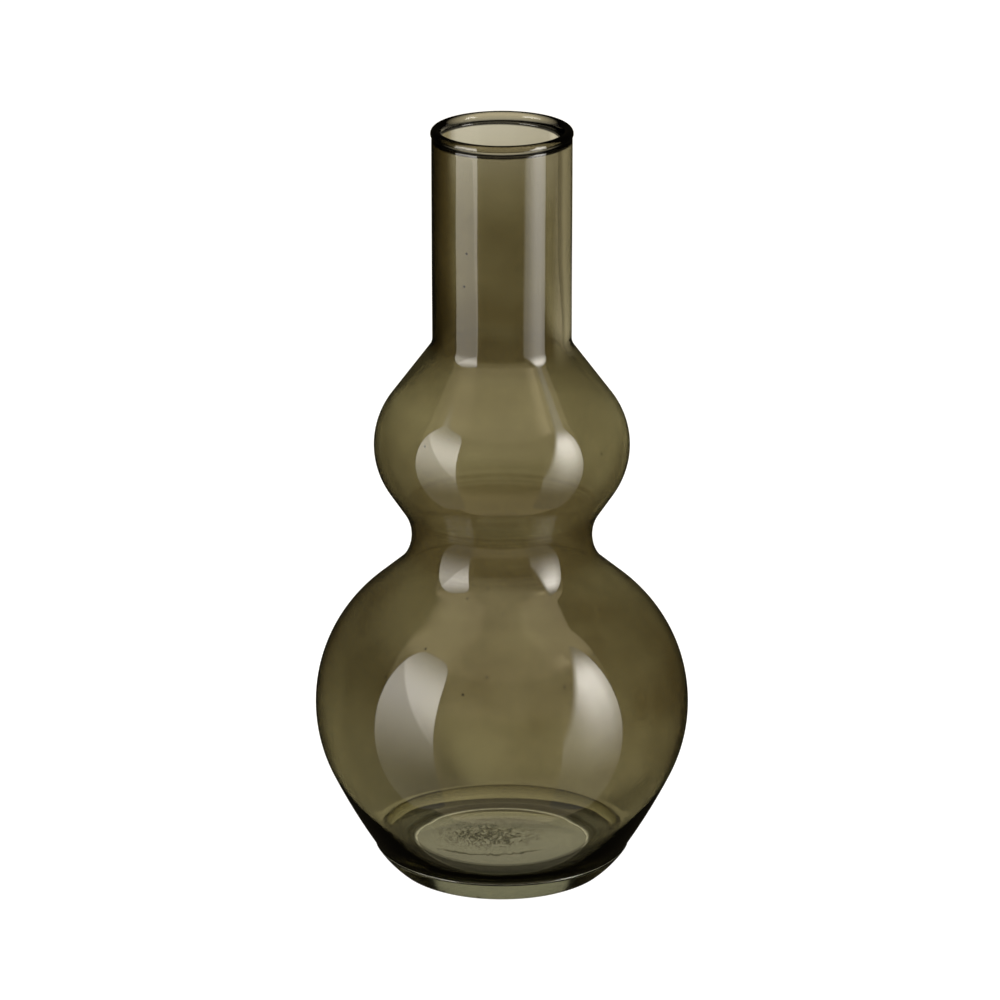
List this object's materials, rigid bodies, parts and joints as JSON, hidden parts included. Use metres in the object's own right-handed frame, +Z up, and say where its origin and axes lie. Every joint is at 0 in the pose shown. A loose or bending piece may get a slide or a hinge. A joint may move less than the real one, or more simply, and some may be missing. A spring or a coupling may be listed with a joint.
{
  "type": "gourd vase",
  "caption": "Free-standing gourd-shaped vase of smoky olive glass: straight neck with a rounded lip, two stacked bulbs and a thick foot, for cut or dried stems.",
  "frame": {"origin": "centre of the underside, on the plane the vase stands on", "axes": "+Z up along the axis of revolution, from the foot to the mouth"},
  "size_m": [0.14, 0.14, 0.2865],
  "materials": {
    "smoked_glass": "polished, transparent smoky olive",
    "pale_glass": "polished, transparent, faintly tinted"
  },
  "bodies": {
    "root": {"vase_body": "smoked_glass", "lip_bead": "smoked_glass", "foot": "pale_glass"}
  },
  "joints": []
}
